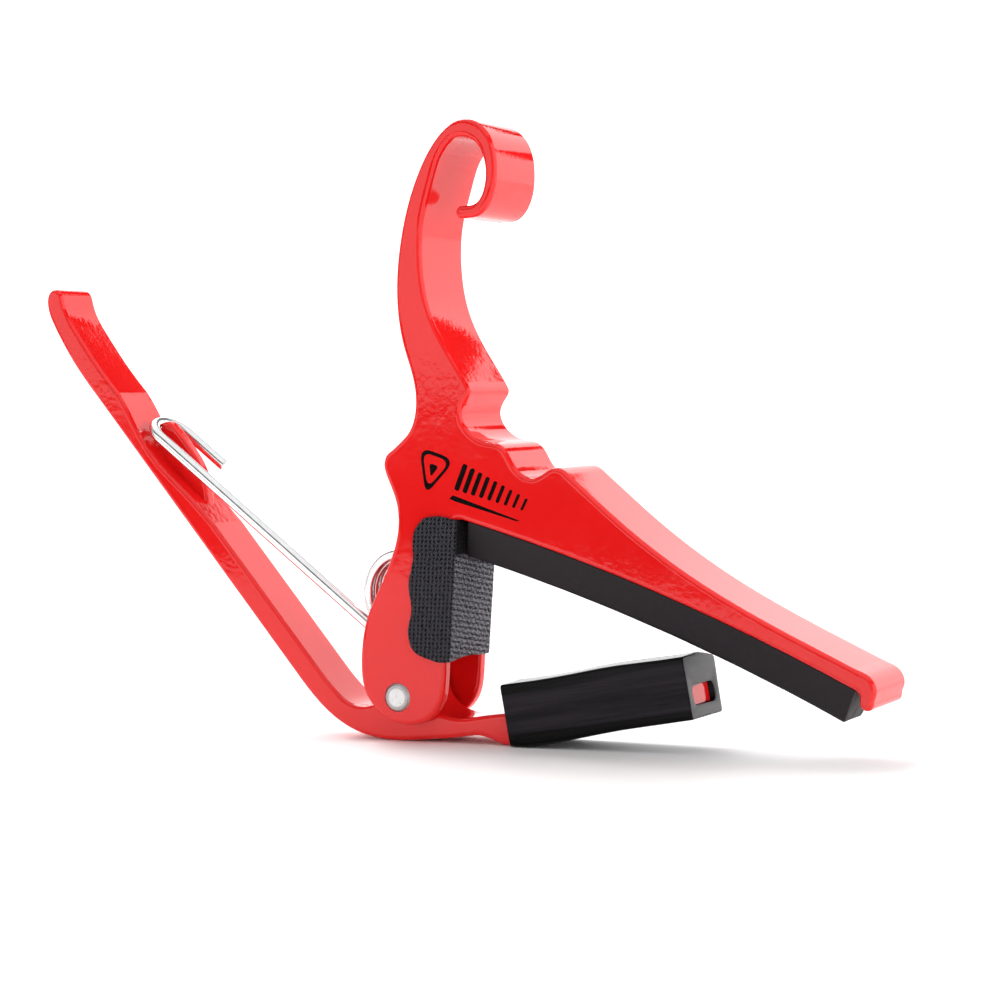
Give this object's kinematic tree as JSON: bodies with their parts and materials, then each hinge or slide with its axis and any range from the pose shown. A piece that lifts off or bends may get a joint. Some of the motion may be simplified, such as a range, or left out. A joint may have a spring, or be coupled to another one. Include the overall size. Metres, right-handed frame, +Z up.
{
  "type": "guitar capo",
  "caption": "Spring-closed guitar capo: a padded string bar with a curled hook, a pivoting lever handle with a rubber neck boot, and a torsion spring in the clevis.",
  "frame": {"origin": "middle of the length and width at the surface the capo stands on", "axes": "+X along the string bar away from the hook, +Y across the width, +Z up; the pivot axis runs along Y at x -4.44 mm, z 6.3 mm"},
  "size_m": [0.127, 0.014, 0.0843],
  "materials": {
    "red_coat": "gloss powder coat",
    "rivet_steel": "bright",
    "pad_rubber": "matte",
    "boot_rubber": "satin",
    "pad_cloth": "woven",
    "spring_wire": "polished"
  },
  "bodies": {
    "clamp_body": {"body": "red_coat", "string_pad": "pad_rubber", "neck_pad": "pad_cloth", "pivot_rivet": "rivet_steel", "torsion_spring": "spring_wire"},
    "lever_arm": {"lever": "red_coat", "boot": "boot_rubber"}
  },
  "joints": [
    {"name": "lever_pivot", "type": "hinge", "parent": "clamp_body", "child": "lever_arm", "pos_m": [-0.00444, 0, 0.0063], "axis": [0, 1, 0], "range_deg": [0, 36], "stiffness_Nm_per_rad": 0.7, "springref_deg": -80.21, "deforming": ["torsion_spring"]}
  ]
}
